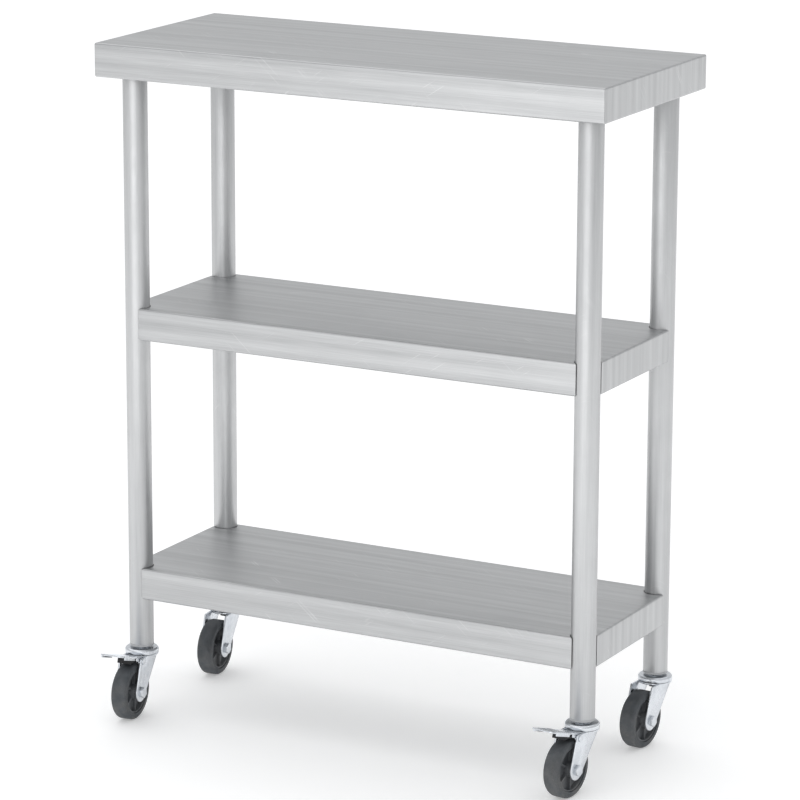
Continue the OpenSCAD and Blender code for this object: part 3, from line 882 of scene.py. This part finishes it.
# %% [markdown]
# ## Bright zinc
# Forks, pedals, caps and bolts are pressed or turned steel with a bright zinc coat: paler and
# cooler than stainless, and cloudier. The coat grows in faint patches a few millimetres wide,
# floor dust settles on it low down, and scratches show as brighter lines.
# %% Finish: bright zinc
ZINC_LIGHT, ZINC_DARK = (0.74, 0.765, 0.80, 1), (0.60, 0.63, 0.67, 1)
FRESH_ZINC = (0.9, 0.91, 0.92, 1)
DUST_ON_METAL = (0.42, 0.40, 0.37, 1)

tree, shader, here = finish("zinc_plate", Metallic=1.0)
patches = add(tree, "ShaderNodeTexVoronoi", Vector=here, Scale=230.0, Randomness=1.0)
patches.feature = "SMOOTH_F1"
use = place(tree, wear, Vector=here, Smudge_Scale=60.0, Scratch_Scale=110.0)
dust = place(tree, floor_dust, Vector=here, Top=0.07, Speck_Scale=700.0)["Dust"]
clouded = times(tree, spread(tree, patches.outputs[0], 0.1, 0.8), use["Smudges"])
zinc = blend_colours(tree, clouded, ZINC_LIGHT, ZINC_DARK)
marked = blend_colours(tree, times(tree, use["Scratches"], 0.6), zinc, FRESH_ZINC)
rough = spread(tree, use["Smudges"], 0.0, 1.0, 0.22, 0.36)
feed(tree, shader, Base_Color=blend_colours(tree, times(tree, dust, 0.35), marked, DUST_ON_METAL),
     Roughness=plus(tree, rough, times(tree, dust, 0.25), clamp=True))
raise_bumps(tree, shader, use["Smudges"], 0.01 * MM, 0.5)
print("zinc_plate", len(tree.nodes), "nodes")

# %% [markdown]
# ## Small metal parts
# Balls and sleeves are ground steel, nearly a mirror, with a film of grease that makes them
# uneven. The rivet nuts carry yellow zinc, whose colour drifts between straw and pink. The
# set screws are blacked steel, which is a dark film worn through on its high spots. One
# pattern serves all three with different colours.
# %% Finishes: bearing steel, yellow zinc, black steel
SMALL_METALS = (
    # finish, dark, light, least and most rough, metallic
    ("bearing_steel", (0.46, 0.46, 0.47, 1), (0.62, 0.62, 0.63, 1), 0.12, 0.26, 1.0),
    ("yellow_zinc", (0.62, 0.47, 0.16, 1), (0.72, 0.60, 0.34, 1), 0.25, 0.40, 1.0),
    ("black_steel", (0.018, 0.018, 0.02, 1), (0.07, 0.07, 0.075, 1), 0.35, 0.55, 0.7),
)
for name, dark, light, least, most, metallic in SMALL_METALS:
    tree, shader, here = finish(name, Metallic=metallic)
    use = place(tree, wear, Vector=here, Smudge_Scale=90.0, Scratch_Scale=150.0)
    marks = maths(tree, "MAXIMUM", use["Smudges"], use["Scratches"])
    feed(tree, shader, Base_Color=blend_colours(tree, marks, dark, light),
         Roughness=spread(tree, use["Smudges"], 0.0, 1.0, least, most))
    raise_bumps(tree, shader, use["Smudges"], 0.005 * MM, 0.5)
    print(name, len(tree.nodes), "nodes")

# %% [markdown]
# ## Rubber
# A castor tyre is a dark grey, slightly chalky rubber. Its skin has a fine tooth, it scuffs paler
# where it rolls, and dust fills it near the floor. The brake shoe is the same sort of
# rubber but blacker. Rubber isn't metallic, and its dull shine comes from a high roughness.
# %% Finishes: tyre and shoe rubber
DUST_ON_RUBBER = (0.30, 0.28, 0.25, 1)


def worn_and_dusty(tree, here, scales, smudge_share, dust_top, dust_share, dark, light):
    """A dark moulded surface: paler where it is worn, and dusty near the floor."""
    use = place(tree, wear, Vector=here, Smudge_Scale=scales[0], Scratch_Scale=scales[1])
    dust = place(tree, floor_dust, Vector=here, Top=dust_top, Speck_Scale=900.0)["Dust"]
    marks = maths(tree, "MAXIMUM", times(tree, use["Smudges"], smudge_share), use["Scratches"])
    worn = blend_colours(tree, marks, dark, light)
    return blend_colours(tree, times(tree, dust, dust_share), worn, DUST_ON_RUBBER), use["Smudges"]


for name, dark, light, dust_share in (
        ("tyre", (0.058, 0.064, 0.071, 1), (0.098, 0.106, 0.115, 1), 0.40),
        ("shoe_rubber", (0.014, 0.014, 0.015, 1), (0.035, 0.035, 0.037, 1), 0.15)):
    tree, shader, here = finish(name, Metallic=0.0, Specular_IOR_Level=0.4)
    tooth = noise(tree, here, 1500.0, 3.0)
    colour, smudges = worn_and_dusty(tree, here, (70.0, 160.0), 0.7, 0.085, dust_share, dark, light)
    feed(tree, shader, Base_Color=colour, Roughness=spread(tree, tooth, 0.3, 0.7, 0.62, 0.82))
    raise_bumps(tree, shader, tooth, 0.03 * MM, 0.7)
    print(name, len(tree.nodes), "nodes")

# %% [markdown]
# ## Moulded plastic
# The wheel cores and the expander plugs are moulded. A mould's skin is lightly spark-eroded, so
# the plastic has a fine leathery sheen, flow clouds, and dust in the corners low down. The wear
# and dust are made as on the rubber.
# %% Finishes: wheel core and plug plastic
for name, dark, light, dust_share in (
        ("core_plastic", (0.070, 0.076, 0.084, 1), (0.105, 0.112, 0.121, 1), 0.35),
        ("plug_plastic", (0.40, 0.41, 0.42, 1), (0.48, 0.49, 0.50, 1), 0.0)):
    tree, shader, here = finish(name, Metallic=0.0, Specular_IOR_Level=0.5)
    colour, smudges = worn_and_dusty(tree, here, (50.0, 140.0), 0.8, 0.075, dust_share, dark, light)
    feed(tree, shader, Base_Color=colour, Roughness=spread(tree, smudges, 0.0, 1.0, 0.42, 0.55))
    raise_bumps(tree, shader, noise(tree, here, 2200.0, 2.0), 0.015 * MM, 0.6)
    print(name, len(tree.nodes), "nodes")

# %% [markdown]
# ## Painting the cart
# Every piece was handed over with the name of its finish, so the materials go on in one pass.
# %% Put the finishes on
painted = [o for o in bpy.context.scene.objects if o.type == "MESH" and "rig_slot" in o]
for piece in painted:
    piece.data.materials.clear()
    piece.data.materials.append(finishes[piece["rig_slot"]])
print(len(painted), "pieces painted with", len(finishes), "finishes")

# %% [markdown]
# ## A pale floor
# Steel looks like what it mirrors, so the surroundings matter as much as the metal. A wide,
# plain, nearly white floor gives the aprons something bright to reflect. It glows slightly, as a
# lit table does, so that the shadows under the wheels stay faint. It isn't part of the cart, so
# it is marked as the stage.
# %% Lay the floor
FLOOR_SIZE = 80
GLOW = 0.26

bpy.ops.mesh.primitive_plane_add(size=FLOOR_SIZE)
floor = bpy.context.active_object
floor.name = "studio_floor"
tree, shader, here = finish("floor_paint", Roughness=0.7, Specular_IOR_Level=0.2,
                            Emission_Color=(1, 1, 1, 1), Emission_Strength=GLOW)
mottled = blend_colours(tree, noise(tree, here, 1.2, 2.0), (0.90, 0.90, 0.90, 1), (0.93, 0.93, 0.93, 1))
feed(tree, shader, Base_Color=mottled)
floor.data.materials.append(finishes["floor_paint"])
floor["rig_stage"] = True
print(floor.name, FLOOR_SIZE, "m wide")

# %% [markdown]
# ## Soft studio light
# Light comes three ways. The room itself is an even pale grey, which the tops mirror. A very wide
# soft sun from overhead whitens the floor without showing in the upright faces, so the aprons
# mirror a bright floor. A large softbox standing in front lifts the aprons towards the right
# and leaves the ends a step darker, which shows the depth of the cart.
# %% Hang the lights
SUN_TILT = (radians(-12), radians(-14), 0)
SUN_SPREAD = radians(75)
SUN_STRENGTH = 0.75
SOFTBOX_AT = Vector((0.1, -2.4, 1.1))
SOFTBOX_AIM = Vector((0, 0, 0.6))
SOFTBOX_SIZE = 2.2
SOFTBOX_WATTS = 14

bpy.ops.object.light_add(type="SUN", location=(0, 0, 4), rotation=SUN_TILT)
overhead = bpy.context.active_object
overhead.name = "overhead_light"
overhead.data.energy = SUN_STRENGTH
overhead.data.angle = SUN_SPREAD

bpy.ops.object.light_add(type="AREA", location=SOFTBOX_AT)
softbox = bpy.context.active_object
softbox.name = "front_softbox"
softbox.data.size = SOFTBOX_SIZE
softbox.data.energy = SOFTBOX_WATTS
softbox.rotation_euler = (SOFTBOX_AIM - SOFTBOX_AT).to_track_quat("-Z", "Y").to_euler()
softbox.visible_camera = False

# %% [markdown]
# The room is only a colour and a strength, and colours go to the picture as they are.
# %% Fill the room
ROOM_GREY = (0.98, 0.99, 1.0, 1)
ROOM_STRENGTH = 0.68

room = bpy.data.worlds.new("pale_room")
bpy.context.scene.world = room
room.use_nodes = True
feed(room.node_tree, room.node_tree.nodes["Background"], Color=ROOM_GREY, Strength=ROOM_STRENGTH)
bpy.context.scene.view_settings.view_transform = "Standard"
print(room.name, "strength", ROOM_STRENGTH)

# %% [markdown]
# ## The camera
# The cart is seen from the front right and from a little above, through a long lens, so its
# upright edges stay nearly parallel. The camera stands at a distance from the point that it looks
# at, turned round the cart by one angle and raised by another, and leans by a fifth of a degree.
# %% Set up the camera
AIM = Vector((0.003, 0.019, 0.443))
DISTANCE = 5.08
TO_THE_RIGHT = radians(28.09)
RAISED = radians(14.01)
LEAN = radians(-0.22)
LENS_MM = 176.9
SENSOR_MM = 36

towards_camera = Vector((sin(TO_THE_RIGHT) * cos(RAISED), -cos(TO_THE_RIGHT) * cos(RAISED), sin(RAISED)))
bpy.ops.object.camera_add(location=AIM + DISTANCE * towards_camera,
                          rotation=(radians(90) - RAISED, LEAN, TO_THE_RIGHT))
camera = bpy.context.active_object
camera.name = "camera"
camera.data.lens = LENS_MM
camera.data.sensor_width = SENSOR_MM
camera.data.clip_end = 100
bpy.context.scene.camera = camera
print("camera at", [round(v, 3) for v in camera.location], "with a lens of", LENS_MM, "mm")

# %% [markdown]
# ## Closing the work
# The visual model has to fill the same box as the solid one, so both boxes are measured and
# the largest difference between them is printed.
# %% Compare the two boxes
made_box = [list(corner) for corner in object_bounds()]
gaps = [abs(a - b) for cad, made in zip(cad_box, made_box) for a, b in zip(cad, made)]
print("largest difference of the boxes:", round(max(gaps) / MM, 2), "mm")
